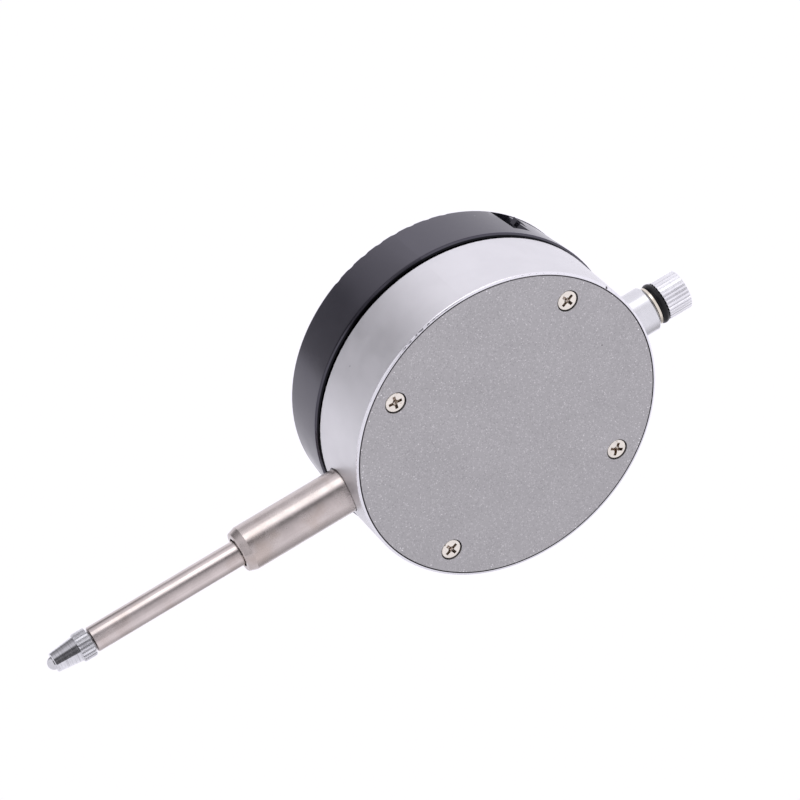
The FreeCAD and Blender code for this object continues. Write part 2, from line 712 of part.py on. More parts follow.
NODES = {
    "case_body": case_body,
    "back_cover": back_cover,
    "back_screws": back_screws,
    "back_gasket": back_gasket,
    "stem": stem,
    "lower_bush": lower_bush,
    "upper_collar": upper_collar,
    "upper_bush": upper_bush,
    "guide_rod": guide_rod,
    "scale_board": scale_board,
    "scale_board_screws": scale_board_screws,
    "friction_ring": friction_ring,
    "face_retainer": face_retainer,
    "retainer_screws": retainer_screws,
    "return_spring": return_spring,
    "spindle": spindle,
    "contact_point": contact_point,
    "contact_ball": contact_ball,
    "lifting_knob": lifting_knob,
    "knob_washer": knob_washer,
    "bumper_o_ring": bumper_o_ring,
    "scale_carrier": scale_carrier,
    "carrier_screw": carrier_screw,
    "slider_plate": slider_plate,
    "front_housing": front_housing,
    "rear_plate": rear_plate,
    "housing_screws": housing_screws,
    "face_panel": face_panel,
    "lcd_window": lcd_window,
    "lcd_module": lcd_module,
    "zebra_strips": zebra_strips,
    "main_board": main_board,
    "controller_chip": controller_chip,
    "switch_domes": switch_domes,
    "battery_contacts": battery_contacts,
    "button_left": lambda: button(BUTTON_X[0]),
    "button_middle": lambda: button(BUTTON_X[1]),
    "button_right": lambda: button(BUTTON_X[2]),
    "battery_door": battery_door,
    "battery_cell": battery_cell,
}

os.makedirs("parts", exist_ok=True)
for name, make in NODES.items():
    make().exportStep("parts/" + name + ".step")
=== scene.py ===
import bmesh
import bpy
import json
import math
from mathutils import Matrix, Vector


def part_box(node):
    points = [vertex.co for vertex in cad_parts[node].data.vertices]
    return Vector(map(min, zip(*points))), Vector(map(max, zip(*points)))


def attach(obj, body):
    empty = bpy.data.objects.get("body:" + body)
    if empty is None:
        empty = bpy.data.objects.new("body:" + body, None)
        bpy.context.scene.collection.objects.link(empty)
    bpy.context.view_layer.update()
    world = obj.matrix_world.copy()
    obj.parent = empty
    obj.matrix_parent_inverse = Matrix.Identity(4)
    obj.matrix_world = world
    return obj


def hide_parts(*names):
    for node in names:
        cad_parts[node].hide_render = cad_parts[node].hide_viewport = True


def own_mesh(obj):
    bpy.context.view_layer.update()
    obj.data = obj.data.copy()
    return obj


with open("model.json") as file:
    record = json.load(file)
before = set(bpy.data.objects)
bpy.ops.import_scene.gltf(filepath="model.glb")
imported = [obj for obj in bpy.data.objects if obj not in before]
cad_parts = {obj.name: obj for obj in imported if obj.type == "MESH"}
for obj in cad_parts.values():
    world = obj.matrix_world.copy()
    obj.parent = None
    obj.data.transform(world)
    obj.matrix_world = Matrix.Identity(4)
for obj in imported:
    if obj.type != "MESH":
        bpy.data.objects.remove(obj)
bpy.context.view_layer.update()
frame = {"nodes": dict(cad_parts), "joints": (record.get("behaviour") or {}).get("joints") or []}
nodes = frame["nodes"]
joints = {joint_shade["name"]: joint_shade for joint_shade in frame["joints"]}

MM = 0.001
MICRON = 0.001 * MM

# Places and sizes taken from the frame. The plunger slides on the Z axis, and the display turns about the
# case's own axis, which runs along Y.
CASE_CENTRE = Vector(joints["display_turn"]["pos_m"])
cover_low, cover_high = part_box("back_cover")
COVER_R = (cover_high[0] - cover_low[0]) / 2
RIM_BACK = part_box("case_body")[1][1]
HEAD_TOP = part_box("back_screws")[1][1]
HOUSING_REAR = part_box("front_housing")[1][1]
LCD_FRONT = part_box("lcd_module")[0][1]
KEY_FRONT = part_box("button_middle")[0][1]
KNURL_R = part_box("contact_point")[1][0]
knob_low, knob_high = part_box("lifting_knob")
KNOB_R = knob_high[0]

KNURL_LOW = -41.3 * MM                                  # lower end of the contact's knurl
GROOVE = 0.22 * MM                                      # depth of both knurls
NICK = (14.9 * MM, CASE_CENTRE.z + 24.0 * MM)           # dark nick in the rim, as (x, z)
SPECK = (4.9 * MM, CASE_CENTRE.z + 20.1 * MM)           # dark dot on the cover, as (x, z)


# --- materials -----------------------------------------------------------------------------------
class Look:
    """One procedural material, with short calls for the nodes it is built from."""

    def __init__(self, name, metallic, **sockets):
        self.material = bpy.data.materials.new(name)
        self.material.use_nodes = True
        self.tree = self.material.node_tree
        self.shader = self.tree.nodes["Principled BSDF"]
        self.shader.inputs["Metallic"].default_value = metallic
        for key, value in sockets.items():
            self.shader.inputs[key.replace("_", " ")].default_value = value
        self.place = self.tree.nodes.new("ShaderNodeTexCoord").outputs["Object"]
        parts = self.add("ShaderNodeSeparateXYZ", {0: self.place})
        self.x, self.y, self.z = parts.outputs
        self.bumps = None

    def add(self, kind, inputs=None, **settings):
        node = self.tree.nodes.new(kind)
        for key, value in settings.items():
            setattr(node, key, value)
        for key, value in (inputs or {}).items():
            self.feed(node.inputs[key], value)
        return node

    def feed(self, socket, value):
        """Link a node's output to the socket, or set the socket to a plain value."""
        if isinstance(value, bpy.types.NodeSocket):
            self.tree.links.new(value, socket)
        elif value is not None:
            socket.default_value = value

    def math(self, operation, a, b=None, c=None):
        return self.add("ShaderNodeMath", {0: a, 1: b, 2: c}, operation=operation).outputs[0]

    def times(self, a, b):
        return self.math("MULTIPLY", a, b)

    def remap(self, value, low, high, to_low=0.0, to_high=1.0, kind="SMOOTHSTEP"):
        inputs = {0: value, 1: low, 2: high, 3: to_low, 4: to_high}
        return self.add("ShaderNodeMapRange", inputs, interpolation_type=kind).outputs[0]

    def mix(self, share, a, b):
        """Colour that goes from a to b as share goes from 0 to 1."""
        inputs = {0: share, 6: solid(a), 7: solid(b)}
        return self.add("ShaderNodeMix", inputs, data_type="RGBA").outputs[2]

    def mix_value(self, share, a, b):
        return self.add("ShaderNodeMix", {0: share, 2: a, 3: b}).outputs[0]

    def stretched(self, stretch):
        return self.add("ShaderNodeMapping", {"Vector": self.place, "Scale": stretch}).outputs[0]

    def noise(self, size, detail=2.0, stretch=(1, 1, 1)):
        inputs = {"Vector": self.stretched(stretch), "Scale": 1 / size, "Detail": detail, "Roughness": 0.55}
        return self.add("ShaderNodeTexNoise", inputs).outputs[0]

    def waves(self, scale, distortion=0.0):
        inputs = {"Vector": self.place, "Scale": scale, "Distortion": distortion}
        return self.add("ShaderNodeTexWave", inputs).outputs["Fac"]

    def cells(self, size, stretch=(1, 1, 1)):
        """Distance to the nearest cell's centre and that cell's random value."""
        inputs = {"Vector": self.stretched(stretch), "Scale": 1 / size}
        node = self.add("ShaderNodeTexVoronoi", inputs)
        chance = self.add("ShaderNodeSeparateColor", {0: node.outputs["Color"]}).outputs[0]
        return node.outputs["Distance"], chance

    def specks(self, size, share, spread, stretch=(1, 1, 1)):
        """Mask of scattered specks: share of the cells hold one, spread is its size in its cell."""
        distance, chance = self.cells(size, stretch)
        small = self.remap(distance, spread * 0.6, spread, 1.0, 0.0)
        chosen = self.math("LESS_THAN", chance, share)
        return self.times(small, chosen)

    def radius(self, centre_z=None):
        """Distance from the spindle axis, or from the case axis where its height is given."""
        if centre_z is None:
            other = self.y
        else:
            other = self.math("SUBTRACT", self.z, centre_z)
        return self.hypotenuse(self.x, other)

    def hypotenuse(self, a, b):
        return self.math("SQRT", self.math("MULTIPLY_ADD", a, a, self.times(b, b)))

    def spot(self, place, size):
        """Mask of one ragged dot on a face across Y; place is its (x, z)."""
        across = self.math("SUBTRACT", self.x, place[0])
        up = self.math("SUBTRACT", self.z, place[1])
        ragged = self.remap(self.noise(0.12 * MM), 0.3, 0.7, 0.5 * size, 1.3 * size, "LINEAR")
        return self.math("LESS_THAN", self.hypotenuse(across, up), ragged)

    def raise_bump(self, height, depth):
        """Lay one more bump over those already there."""
        inputs = {"Height": height, "Distance": depth, "Strength": 1.0, "Normal": self.bumps}
        self.bumps = self.add("ShaderNodeBump", inputs).outputs[0]

    def done(self, colour, rough):
        self.feed(self.shader.inputs["Base Color"], solid(colour))
        self.feed(self.shader.inputs["Roughness"], rough)
        if self.bumps:
            self.feed(self.shader.inputs["Normal"], self.bumps)
        return self.material


def solid(colour):
    """Plain colour with its alpha; a node's output comes back as it is."""
    return (*colour, 1.0) if isinstance(colour, tuple) and len(colour) == 3 else colour


def shade(colour, factor):
    return tuple(min(1.0, part * factor) for part in colour)


def base(look, colour, rough, spread, rough_spread, grain, depth, stretch=(1, 1, 1), patch=5 * MM):
    """Mottled colour, uneven gloss and a fine grain raised as bump: what every surface starts from."""
    fine = look.noise(grain, 3.0, stretch)
    broad = look.noise(patch)
    look.raise_bump(fine, depth)
    tone = look.mix(look.remap(broad, 0.35, 0.65), shade(colour, 1 - spread), shade(colour, 1 + spread))
    tone = look.mix(look.remap(fine, 0.3, 0.7, 0.0, 0.35), tone, shade(colour, 1 - 2 * spread))
    gloss = look.remap(look.noise(patch * 0.6, 3.0), 0.3, 0.7, rough - rough_spread, rough + rough_spread)
    return tone, gloss


def case_look():
    """Satin blasted case side, glossier on the rim with a painted highlight, and painted shade in the slot
    round the cover.
    """
    look = Look("case", 1.0)
    tone, gloss = base(look, (0.755, 0.752, 0.762), rough=0.42, spread=0.015, rough_spread=0.03,
                       grain=0.10 * MM, depth=5.0 * MICRON)
    marks = look.specks(2.6 * MM, share=0.16, spread=0.07)
    tone = look.mix(marks, tone, (0.42, 0.41, 0.42))
    nick = look.spot(NICK, 0.22 * MM)
    # Rim: a glossier polish, and a brighter colour that is a painted highlight; the chips and the nick on it
    # are real marks.
    rim = look.remap(look.y, RIM_BACK - 0.42 * MM, RIM_BACK - 0.22 * MM)
    tone = look.mix(rim, tone, (0.84, 0.835, 0.86))
    chips = look.specks(1.9 * MM, share=0.05, spread=0.12)
    tone = look.mix(look.times(chips, rim), tone, (0.32, 0.31, 0.31))
    tone = look.mix(look.times(nick, rim), tone, (0.10, 0.095, 0.10))
    gloss = look.mix_value(rim, gloss, 0.26)
    # Painted shade: the slot round the cover is painted dark.
    within = look.remap(look.radius(CASE_CENTRE.z), COVER_R + 0.17 * MM, COVER_R + 0.24 * MM, 1.0, 0.0)
    slot_shade = look.times(within, look.remap(look.y, RIM_BACK - 1.4 * MM, RIM_BACK - 1.2 * MM))
    tone = look.mix(slot_shade, tone, (0.16, 0.155, 0.165))
    return look.done(tone, gloss)


def cover_look():
    """Grit-blasted grey plate full of tiny bright grains, with grains painted brighter near its edge as a
    painted highlight, and its edge line painted dark as painted shade.
    """
    look = Look("cover", 0.95)
    tone, gloss = base(look, (0.448, 0.442, 0.441), rough=0.46, spread=0.012, rough_spread=0.03,
                       grain=0.16 * MM, depth=9.0 * MICRON, patch=9 * MM)
    bright = look.specks(0.25 * MM, share=0.30, spread=0.55)
    tone = look.mix(look.times(bright, 0.30), tone, (0.82, 0.81, 0.81))
    spark = look.specks(0.34 * MM, share=0.07, spread=0.40)
    tone = look.mix(look.times(spark, 0.42), tone, (0.95, 0.94, 0.93))
    pits = look.specks(0.27 * MM, share=0.26, spread=0.50)
    tone = look.mix(look.times(pits, 0.30), tone, (0.16, 0.155, 0.16))
    dark = look.specks(5.5 * MM, share=0.14, spread=0.05)
    tone = look.mix(look.math("MAXIMUM", dark, look.spot(SPECK, 0.13 * MM)), tone, (0.10, 0.09, 0.09))
    radius = look.radius(CASE_CENTRE.z)
    # Painted highlight: the bright grains are painted brighter towards the plate's edge.
    wear_and_highlight = look.times(look.remap(radius, COVER_R - 2.0 * MM, COVER_R - 0.3 * MM), spark)
    tone = look.mix(wear_and_highlight, tone, (0.90, 0.89, 0.89))
    # Painted shade: a thin dark line painted at the plate's edge, by the gap.
    edge_shade = look.remap(radius, COVER_R - 0.07 * MM, COVER_R - 0.02 * MM)
    tone = look.mix(edge_shade, tone, (0.27, 0.26, 0.27))
    return look.done(tone, gloss)


def turned_look(name, colour, rough, pitch, height, spread, stains):
    """Turned or ground round bar: fine rings across its length and faint handling marks."""
    look = Look(name, 1.0)
    tone, gloss = base(look, colour, rough, spread, rough_spread=rough * 0.18, grain=pitch * MM,
                       depth=height * MICRON, stretch=(0.02, 0.02, 1.0), patch=3.5 * MM)
    scratches = look.specks(0.9 * MM, share=0.10, spread=0.16, stretch=(1.0, 1.0, 0.22))
    tone = look.mix(look.times(scratches, 0.5), tone, shade(colour, 0.55))
    if stains:
        tone = look.mix(look.remap(look.noise(6 * MM, 3.0), 0.50, 0.72, 0.0, 0.5), tone, stains)
    return look.done(tone, gloss)


def knurled_look(name, colour, rough, smooth_rough, outer, low, high, groove_shade_share):
    """Turned bar whose knurl, between two heights, has painted shade at the bottom of its grooves."""
    look = Look(name, 1.0)
    tone, gloss = base(look, colour, rough, spread=0.04, rough_spread=rough * 0.15, grain=0.12 * MM,
                       depth=1.0 * MICRON, stretch=(0.3, 0.3, 1.0), patch=2.5 * MM)
    above = look.remap(look.z, low - 0.02 * MM, low + 0.02 * MM)
    below = look.remap(look.z, high - 0.02 * MM, high + 0.02 * MM, 1.0, 0.0)
    knurl = look.times(above, below)
    # Painted shade: the knurl is painted darker towards the bottom of its grooves.
    groove = look.remap(look.radius(), outer - GROOVE, outer - 0.35 * GROOVE, 1.0, 0.0)
    groove_shade = look.times(look.times(groove, knurl), groove_shade_share)
    tone = look.mix(groove_shade, tone, shade(colour, 0.32))
    gloss = look.mix_value(knurl, smooth_rough, gloss)
    rings = look.noise(0.16 * MM, stretch=(0.02, 0.02, 1.0))
    smooth = look.math("SUBTRACT", 1.0, knurl)
    look.raise_bump(look.times(rings, smooth), 16 * MICRON)
    lines = look.times(look.remap(rings, 0.52, 0.60), look.times(smooth, 0.45))
    tone = look.mix(lines, tone, shade(colour, 0.45))
    return look.done(tone, gloss)


def screw_look():
    """Nickel-plated screw, browned down in the driver recess."""
    look = Look("screw", 1.0)
    tone, gloss = base(look, (0.83, 0.785, 0.70), rough=0.24, spread=0.05, rough_spread=0.05,
                       grain=0.09 * MM, depth=1.5 * MICRON, patch=1.2 * MM)
    deep = look.remap(look.y, HEAD_TOP - 0.16 * MM, HEAD_TOP - 0.03 * MM, 1.0, 0.0)
    rust = look.remap(look.noise(0.30 * MM, 3.0), 0.42, 0.62, 0.35, 1.0)
    tone = look.mix(look.times(deep, rust), tone, (0.15, 0.085, 0.045))
    tone = look.mix(look.specks(0.7 * MM, share=0.2, spread=0.2), tone, (0.32, 0.24, 0.16))
    return look.done(tone, gloss)


def housing_look():
    """Gloss black moulding with faint waviness, dust, hairline scuffs and black lines of painted shade at its
    rear joint.
    """
    look = Look("housing", 0.0, Specular_IOR_Level=1.0, IOR=1.5, Specular_Tint=(0.885, 0.86, 1.0, 1.0))
    tone, gloss = base(look, (0.014, 0.0135, 0.018), rough=0.19, spread=0.12, rough_spread=0.03,
                       grain=0.8 * MM, depth=0.8 * MICRON, patch=8 * MM)
    dust = look.specks(3.4 * MM, share=0.30, spread=0.045)
    tone = look.mix(dust, tone, (0.45, 0.44, 0.45))
    scuffs = look.specks(2.4 * MM, share=0.16, spread=0.10, stretch=(0.25, 1.0, 1.0))
    tone = look.mix(look.times(scuffs, 0.25), tone, (0.16, 0.16, 0.18))
    gloss = look.math("MULTIPLY_ADD", dust, 0.4, gloss)
    # Painted shade: two black lines at the rear joint, black and metallic so they reflect almost nothing,
    # stand in for the shade in the gap.
    line_start = look.remap(look.y, HOUSING_REAR - 0.58 * MM, HOUSING_REAR - 0.55 * MM)
    line_end = look.remap(look.y, HOUSING_REAR - 0.46 * MM, HOUSING_REAR - 0.43 * MM, 1.0, 0.0)
    rear_line = look.remap(look.y, HOUSING_REAR - 0.24 * MM, HOUSING_REAR - 0.18 * MM)
    joint_shade = look.math("MAXIMUM", look.times(line_start, line_end), rear_line)
    tone = look.mix(joint_shade, tone, (0.012, 0.012, 0.014))
    look.feed(look.shader.inputs["Metallic"], joint_shade)
    return look.done(tone, gloss)


def plain_look(name, colour, metallic, rough, grain, height, spread, **sockets):
    """Even surface with a fine grain and a few worn specks."""
    look = Look(name, metallic, **sockets)
    tone, gloss = base(look, colour, rough, spread, rough_spread=rough * 0.15, grain=grain * MM,
                       depth=height * MICRON, patch=3 * MM)
    wear_and_highlight = look.specks(1.7 * MM, share=0.14, spread=0.10)
    tone = look.mix(look.times(wear_and_highlight, 0.4), tone, shade(colour, 1.6))
    return look.done(tone, gloss)


def board_look():
    """Solder mask with copper tracks under it."""
    look = Look("pcb", 0.0)
    tone, gloss = base(look, (0.02, 0.17, 0.07), rough=0.32, spread=0.10, rough_spread=0.05,
                       grain=0.3 * MM, depth=1.0 * MICRON)
    tracks = look.remap(look.waves(420.0, distortion=3.0), 0.62, 0.70)
    tone = look.mix(look.times(tracks, 0.6), tone, (0.05, 0.30, 0.14))
    look.raise_bump(tracks, 15 * MICRON)
    return look.done(tone, gloss)


def striped_look():
    """Layered conducting strip."""
    look = Look("elastomer", 0.0)
    tone, gloss = base(look, (0.34, 0.32, 0.30), rough=0.6, spread=0.08, rough_spread=0.05,
                       grain=0.2 * MM, depth=2.0 * MICRON)
    tone = look.mix(look.remap(look.waves(900.0), 0.4, 0.6), tone, (0.05, 0.05, 0.05))
    return look.done(tone, gloss)


# Bars: colour, roughness, pitch of the rings in mm, their height in microns, spread of the tone, stains.
TURNED = {
    "stem": ((0.590, 0.535, 0.505), 0.25, 0.085, 2.4, 0.05, (0.47, 0.39, 0.33)),
    "spindle": ((0.635, 0.575, 0.545), 0.20, 0.10, 1.0, 0.035, (0.50, 0.42, 0.37)),
    "collar": ((0.72, 0.725, 0.735), 0.30, 0.11, 1.6, 0.02, None),
    "steel": ((0.62, 0.62, 0.63), 0.22, 0.10, 1.0, 0.04, None),
    "bush": ((0.72, 0.54, 0.28), 0.28, 0.10, 1.6, 0.04, None),
    "spring": ((0.50, 0.50, 0.51), 0.28, 0.12, 1.0, 0.04, None),
}
# Even surfaces: colour, metallic share, roughness, grain in mm, its height in microns, spread of the tone.
PLAIN = {
    "ball": ((0.66, 0.665, 0.675), 1.0, 0.06, 0.30, 0.3, 0.04),
    "nickel": ((0.74, 0.69, 0.59), 1.0, 0.20, 0.10, 1.0, 0.05),
    "o_ring": ((0.004, 0.004, 0.005), 0.0, 0.34, 0.15, 1.0, 0.15),
    "gasket": ((0.02, 0.02, 0.02), 0.0, 0.6, 0.2, 4.0, 0.08),
    "nylon": ((0.80, 0.79, 0.74), 0.0, 0.45, 0.3, 3.0, 0.03),
    "carrier": ((0.58, 0.58, 0.60), 1.0, 0.34, 0.15, 2.5, 0.08),
    "slider": ((0.45, 0.52, 0.55), 0.3, 0.08, 0.5, 0.3, 0.08),
    "rear_plate": ((0.018, 0.018, 0.020), 0.0, 0.42, 0.25, 6.0, 0.08),
    "panel": ((0.055, 0.058, 0.064), 0.0, 0.48, 0.16, 7.0, 0.10),
    "window": ((0.20, 0.23, 0.23), 0.0, 0.04, 0.8, 0.1, 0.02),
    "lcd": ((0.40, 0.44, 0.36), 0.0, 0.35, 0.2, 0.6, 0.03),
    "chip": ((0.02, 0.02, 0.022), 0.0, 0.5, 0.12, 5.0, 0.08),
    "dome": ((0.76, 0.75, 0.72), 1.0, 0.22, 0.3, 1.0, 0.08),
    "button": ((0.42, 0.43, 0.44), 0.0, 0.42, 0.14, 5.0, 0.04),
    "button_accent": ((0.62, 0.16, 0.03), 0.0, 0.40, 0.14, 5.0, 0.05),
    "cell": ((0.76, 0.76, 0.77), 1.0, 0.16, 0.3, 0.8, 0.03),
    "display_ink": ((0.035, 0.040, 0.035), 0.0, 0.4, 0.2, 0.5, 0.08),
    "display_ghost": ((0.33, 0.365, 0.30), 0.0, 0.4, 0.2, 0.5, 0.02),
    "white_print": ((0.72, 0.72, 0.71), 0.0, 0.5, 0.1, 2.0, 0.04),
}
EXTRA_SOCKETS = {"o_ring": {"Specular_IOR_Level": 0.25}, "window": {"Alpha": 0.10}}

LOOKS = {
    "case": case_look(),
    "cover": cover_look(),
    "screw": screw_look(),
    "contact": knurled_look("contact", (0.76, 0.765, 0.78), rough=0.40, smooth_rough=0.10, outer=KNURL_R,
                            low=KNURL_LOW, high=0.0, groove_shade_share=0.6),
    "knob": knurled_look("knob", (0.85, 0.85, 0.865), rough=0.30, smooth_rough=0.2, outer=KNOB_R,
                         low=knob_low[2], high=knob_high[2], groove_shade_share=0.38),
    "pcb": board_look(),
    "housing": housing_look(),
    "elastomer": striped_look(),
}
for look_name, values in TURNED.items():
    LOOKS[look_name] = turned_look(look_name, *values)
for look_name, values in PLAIN.items():
    LOOKS[look_name] = plain_look(look_name, *values, **EXTRA_SOCKETS.get(look_name, {}))

NODE_LOOKS = {
    "case_body": "case", "back_cover": "cover", "back_screws": "screw", "back_gasket": "gasket",
    "stem": "stem", "lower_bush": "bush", "upper_collar": "collar", "upper_bush": "bush",
    "guide_rod": "steel", "scale_board": "pcb", "scale_board_screws": "screw", "friction_ring": "nylon",
    "face_retainer": "steel", "retainer_screws": "screw", "return_spring": "spring", "spindle": "spindle",
    "contact_point": "contact", "contact_ball": "ball", "lifting_knob": "knob", "knob_washer": "nickel",
    "bumper_o_ring": "o_ring", "scale_carrier": "carrier", "carrier_screw": "screw",
    "slider_plate": "slider", "front_housing": "housing", "rear_plate": "rear_plate",
    "housing_screws": "screw", "face_panel": "panel", "lcd_window": "window", "lcd_module": "lcd",
    "zebra_strips": "elastomer", "main_board": "pcb", "controller_chip": "chip", "switch_domes": "dome",
    "battery_contacts": "dome", "button_left": "button", "button_middle": "button_accent",
    "button_right": "button", "battery_door": "housing", "battery_cell": "cell",
}


def dress_nodes():
    for name, node in nodes.items():
        node.data.materials.clear()
        node.data.materials.append(LOOKS[NODE_LOOKS[name]])


# --- pieces --------------------------------------------------------------------------------------
def make_object(name, work, material):
    """Turn a finished bmesh into an object of the scene."""
    mesh = bpy.data.meshes.new(name)
    work.to_mesh(mesh)
    work.free()
    made = bpy.data.objects.new(name, mesh)
    bpy.context.collection.objects.link(made)
    made.data.materials.append(material)
    return made


def add_marking(name, loops, surface, gap, rise, body, look_name):
    """Thin raised marking in front of a surface across Y.

    loops are flat outlines as (x, z) in mm from the case's centre; the marking starts gap mm in front of
    the surface and stands rise mm out from it.
    """
    back_y, front_y = surface - gap * MM, surface - rise * MM
    work = bmesh.new()
    for loop in loops:
        back = [work.verts.new((x * MM, back_y, CASE_CENTRE.z + z * MM)) for x, z in loop]
        front = [work.verts.new((x * MM, front_y, CASE_CENTRE.z + z * MM)) for x, z in loop]
        work.faces.new(back)
        work.faces.new(front[::-1])
        for k in range(len(loop)):
            j = (k + 1) % len(loop)
            work.faces.new((back[k], front[k], front[j], back[j]))
    bmesh.ops.recalc_face_normals(work, faces=work.faces)
    piece = make_object(name, work, LOOKS[look_name])
    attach(piece, body)


def bar(x0, z0, x1, z1, half):
    """Six-sided bar between two points, pointed at its ends."""
    along = Vector((x1 - x0, z1 - z0)).normalized()
    side = Vector((-along.y, along.x)) * half
    a = Vector((x0, z0))
    b = Vector((x1, z1))
    tip = along * half
    points = (a, a + tip + side, b - tip + side, b, b - tip - side, a + tip - side)
    return [(p.x, p.y) for p in points]


def ring(x, z, outer, inner, start=0.0, end=360.0, count=40):
    """Ring or arc as a row of four-sided loops; angles run clockwise from the top."""
    loops = []
    for k in range(count):
        corners = []
        for share, size in ((k, outer), (k + 1, outer), (k + 1, inner), (k, inner)):
            turn = math.radians(start + (end - start) * share / count)
            corners.append((x + size * math.sin(turn), z + size * math.cos(turn)))
        loops.append(corners)
    return loops


# Ends of each segment, as (column, row) to (column, row): two columns, and rows 0, 1 and 2 upwards.
SEGMENTS = {
    "a": (0, 2, 1, 2), "b": (1, 2, 1, 1), "c": (1, 1, 1, 0), "d": (0, 0, 1, 0),
    "e": (0, 1, 0, 0), "f": (0, 2, 0, 1), "g": (0, 1, 1, 1),
}
ZERO = "abcdef"
BLANK = ""


def digit(x, z, width, height, lit):
    """Loops of a seven-segment digit: the lit ones and the faint ones."""
    gap, half_stroke = 0.12, 0.42
    on, off = [], []
    for key, (i0, j0, i1, j1) in SEGMENTS.items():
        start = Vector((x + i0 * width, z + j0 * height / 2))
        end = Vector((x + i1 * width, z + j1 * height / 2))
        step = (end - start).normalized() * gap
        loop = bar(*(start + step), *(end - step), half_stroke)
        (on if key in lit else off).append(loop)
    return on, off


def battery_symbol(x, z):
    """Small outline of a cell, filled by three bars."""
    wide, high, half = 2.2, 1.1, 0.09
    nub_x, nub_inset, fill_inset, fill_half = x + wide + 0.2, 0.35, 0.22, 0.16
    sides = [bar(x, z, x + wide, z, half), bar(x, z + high, x + wide, z + high, half),
             bar(x, z, x, z + high, half), bar(x + wide, z, x + wide, z + high, half)]
    nub = bar(nub_x, z + nub_inset, nub_x, z + high - nub_inset, half)
    fill = [bar(x + step, z + fill_inset, x + step, z + high - fill_inset, fill_half)
            for step in (0.45, 0.95, 1.45)]
    return sides + [nub] + fill


def add_display_markings():
    """A zero reading, the faint segments that are off, and a battery symbol."""
    left, low = -13.4, -2.6
    width, height, pitch = 3.3, 7.6, 5.3
    lit, faint = [], []
    for place, segments in enumerate((BLANK, BLANK, ZERO, ZERO, ZERO)):
        on, off = digit(left + place * pitch, low, width, height, segments)
        lit += on
        faint += off
    lit += ring(left + 3 * pitch - 1.0, low - 0.05, outer=0.42, inner=0.02, count=16)
    lit += battery_symbol(12.9, low + 7.4)
    add_marking("display_digits", lit, LCD_FRONT, 0.01, 0.06, "display", "display_ink")
    add_marking("display_ghosts", faint, LCD_FRONT, 0.01, 0.03, "display", "display_ghost")


def add_key_markings():
    """A ring, an arrow and a power mark, printed on the three keys from just under their faces."""
    z, spacing = -13.5, 11.0
    outer, inner = 1.5, 1.15
    gap, rise = -0.01, 0.03
    circle = ring(-spacing, z, outer, inner)
    arrow = [bar(-1.6, z, 1.6, z, 0.2)] + [bar(-1.7, z, -0.8, z + side * 0.8, 0.2) for side in (1, -1)]
    power = ring(spacing, z, outer, inner, 35, 325) + [bar(spacing, z + 0.2, spacing, z + 1.9, 0.18)]
    for key, loops in (("left_key", circle), ("middle_key", arrow), ("right_key", power)):
        add_marking(key + "_mark", loops, KEY_FRONT, gap, rise, key, "white_print")


def add_spring():
    """Coil spring with closed ends, standing in for the frame's return spring."""
    spring_low, spring_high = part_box("return_spring")
    wire, closed = 0.24 * MM, 0.52 * MM                 # wire's radius, and rise of each end turn
    turns, steps, sides = 12, 24, 8
    coil = spring_high[0] - wire
    pitch = (spring_high[2] - spring_low[2] - 2 * wire - 2 * closed) / (turns - 2)
    work = bmesh.new()
    sections = []
    for k in range(turns * steps + 1):
        turn = k / steps
        angle = math.tau * turn
        first = closed * min(turn, 1)
        middle = pitch * min(max(turn - 1, 0), turns - 2)
        last = closed * max(turn - turns + 1, 0)
        height = spring_low[2] + wire + (first + middle + last)
        section = []
        for j in range(sides):
            around = math.tau * j / sides
            radius = coil + wire * math.cos(around)
            place = (radius * math.cos(angle), radius * math.sin(angle), height + wire * math.sin(around))
            section.append(work.verts.new(place))
        sections.append(section)
    for below, above in zip(sections, sections[1:]):
        for j in range(sides):
            i = (j + 1) % sides
            work.faces.new((below[j], below[i], above[i], above[j]))
    work.faces.new(sections[0])
    work.faces.new(sections[-1][::-1])
    bmesh.ops.recalc_face_normals(work, faces=work.faces)
    for face in work.faces:
        face.smooth = len(face.verts) == 4
    spring = make_object("spring_coil", work, LOOKS["spring"])
    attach(spring, "case")
    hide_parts("return_spring")
    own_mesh(spring)


# --- camera, light and floor ---------------------------------------------------------------------
def add_camera():
    """Camera at the photograph's viewing angle; azimuth 0 stands in front of the display, 90 to its right."""
    azimuth, elevation, roll = math.radians(140.70), math.radians(-12.23), math.radians(59.33)
    distance = 0.585
    target = Vector((8.08, -2.85, 25.47)) * MM
    level = math.cos(elevation)
    outward = Vector((math.sin(azimuth) * level, -math.cos(azimuth) * level, math.sin(elevation)))
    right = Vector((0, 0, 1)).cross(outward).normalized()
    up = outward.cross(right)
    turn = Matrix.Rotation(roll, 3, outward)
    rotation = Matrix((turn @ right, turn @ up, outward)).transposed().to_4x4()
    camera = bpy.data.objects.new("camera", bpy.data.cameras.new("camera"))
    camera.matrix_world = Matrix.Translation(target + outward * distance) @ rotation
    camera.data.sensor_width = 36.0
    camera.data.lens = 158.3
    camera.data.clip_start = 0.01
    bpy.context.collection.objects.link(camera)
    bpy.context.scene.camera = camera


def add_world():
    """Even pale surroundings, a little violet, as the photograph's greys are."""
    world = bpy.data.worlds.new("studio")
    bpy.context.scene.world = world
    world.use_nodes = True
    sky = world.node_tree.nodes["Background"]
    sky.inputs["Color"].default_value = solid((1.025, 1.0, 1.085))
    sky.inputs["Strength"].default_value = 1.0


